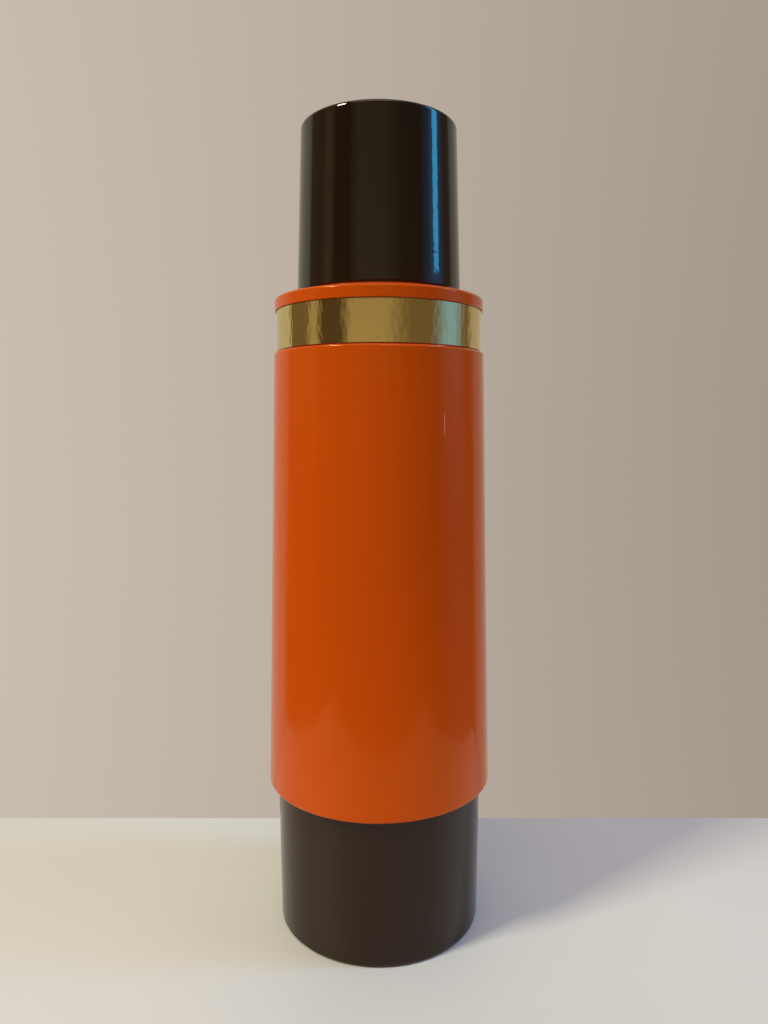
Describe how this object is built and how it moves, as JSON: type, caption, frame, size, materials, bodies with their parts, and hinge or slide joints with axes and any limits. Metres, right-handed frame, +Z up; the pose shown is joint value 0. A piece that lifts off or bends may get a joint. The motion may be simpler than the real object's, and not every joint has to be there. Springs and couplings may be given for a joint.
{
  "type": "vacuum flask",
  "caption": "Tapered screw-top vacuum flask: glass liner in an orange casing, dark base, gold foil band, insulated stopper and a tall dark cup that screws over the neck.",
  "frame": {"origin": "centre of the flask's axis on the surface it stands on", "axes": "+Z up along the flask's axis, towards the cup; +X and +Y across it, with the foil band's seam at +Y"},
  "size_m": [0.086, 0.086, 0.2995],
  "materials": {
    "base_plastic": "satin",
    "orange_plastic": "satin",
    "cup_plastic": "gloss",
    "lining_plastic": "gloss",
    "stopper_plastic": "satin",
    "gold_foil": "polished",
    "silvered_glass": "polished",
    "rubber": "matte",
    "seal_rubber": "matte",
    "felt": "matte",
    "fibre": "matte",
    "cork": "matte"
  },
  "bodies": {
    "foot": {"base": "base_plastic", "base_gasket": "rubber", "cushion": "rubber", "tip_guard": "rubber", "glass_outer": "silvered_glass", "glass_inner": "silvered_glass", "spacer_pad_1": "fibre", "spacer_pad_2": "fibre", "spacer_pad_3": "fibre"},
    "casing_lift": {"neck_seal": "rubber"},
    "shell": {"casing": "orange_plastic", "collar": "orange_plastic", "gold_band": "gold_foil", "shoulder_ring": "felt"},
    "cup_lift": {"cup_lining": "lining_plastic"},
    "cup_turn": {"cup": "cup_plastic"},
    "stopper_lift": {"stopper_seal": "seal_rubber"},
    "stopper_turn": {"stopper_body": "stopper_plastic", "stopper_cap": "stopper_plastic", "stopper_core": "cork"}
  },
  "joints": [
    {"name": "casing_rise", "type": "slide", "parent": "foot", "child": "casing_lift", "axis": [0, 0, 1], "range_m": [0, 0.02]},
    {"name": "casing_unscrew", "type": "hinge", "parent": "casing_lift", "child": "shell", "pos_m": [0, 0, 0.07], "axis": [0, 0, 1], "range_deg": [0, 360]},
    {"name": "cup_rise", "type": "slide", "parent": "shell", "child": "cup_lift", "axis": [0, 0, 1], "range_m": [0, 0.08]},
    {"name": "cup_unscrew", "type": "hinge", "parent": "cup_lift", "child": "cup_turn", "pos_m": [0, 0, 0.245], "axis": [0, 0, 1], "range_deg": [0, 1440]},
    {"name": "stopper_rise", "type": "slide", "parent": "shell", "child": "stopper_lift", "axis": [0, 0, 1], "range_m": [0, 0.036]},
    {"name": "stopper_unscrew", "type": "hinge", "parent": "stopper_lift", "child": "stopper_turn", "pos_m": [0, 0, 0.245], "axis": [0, 0, 1], "range_deg": [0, 1080]}
  ],
  "couplings": [
    {"joint": "casing_rise", "follows": "casing_unscrew", "m_per_rad": 0.0031831},
    {"joint": "cup_rise", "follows": "cup_unscrew", "m_per_rad": 0.0031831},
    {"joint": "stopper_rise", "follows": "stopper_unscrew", "m_per_rad": 0.0019099}
  ]
}
